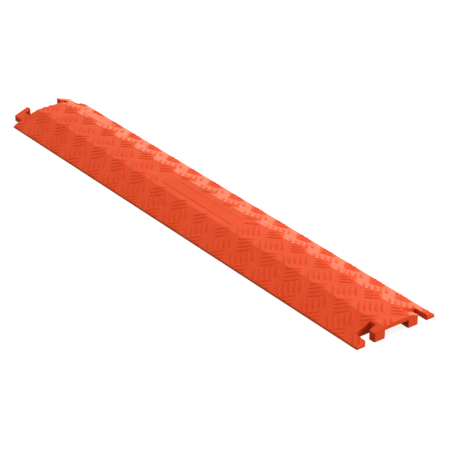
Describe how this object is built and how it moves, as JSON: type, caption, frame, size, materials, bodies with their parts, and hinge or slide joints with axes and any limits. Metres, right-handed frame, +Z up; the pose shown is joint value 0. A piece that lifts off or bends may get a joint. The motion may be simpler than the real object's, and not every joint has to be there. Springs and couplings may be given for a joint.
{
  "type": "cable protector ramp",
  "caption": "Low drop-over ramp with sloped sides, raised tread, an open cable channel underneath, and hook lugs and sockets that join ramps end to end.",
  "frame": {"origin": "on the floor, at the middle of the box that holds the body and its lugs", "axes": "+X along the ramp from the lug end to the socket end, +Y across it, +Z up"},
  "size_m": [0.9382, 0.15, 0.0222],
  "materials": {
    "body": "satin moulded polyurethane, orange-red",
    "connectors": "satin moulded polyurethane, orange-red",
    "tread_bars": "satin moulded polyurethane, tops slightly rubbed",
    "blank_panels": "satin moulded polyurethane, smooth"
  },
  "bodies": {
    "root": {"front_ramp": "body", "rear_ramp": "body", "channel_roof": "body", "front_socket_finger": "connectors", "rear_socket_finger": "connectors", "front_socket_wall": "connectors", "rear_socket_wall": "connectors", "front_socket_lip": "connectors", "rear_socket_lip": "connectors", "front_lug_neck": "connectors", "rear_lug_neck": "connectors", "front_lug_hook": "connectors", "rear_lug_hook": "connectors", "front_toe_tread": "tread_bars", "front_ramp_tread": "tread_bars", "front_crest_tread": "tread_bars", "roof_tread": "tread_bars", "rear_crest_tread": "tread_bars", "rear_ramp_tread": "tread_bars", "rear_toe_tread": "tread_bars", "emblem_panel": "blank_panels", "label_panel": "blank_panels"}
  },
  "joints": []
}
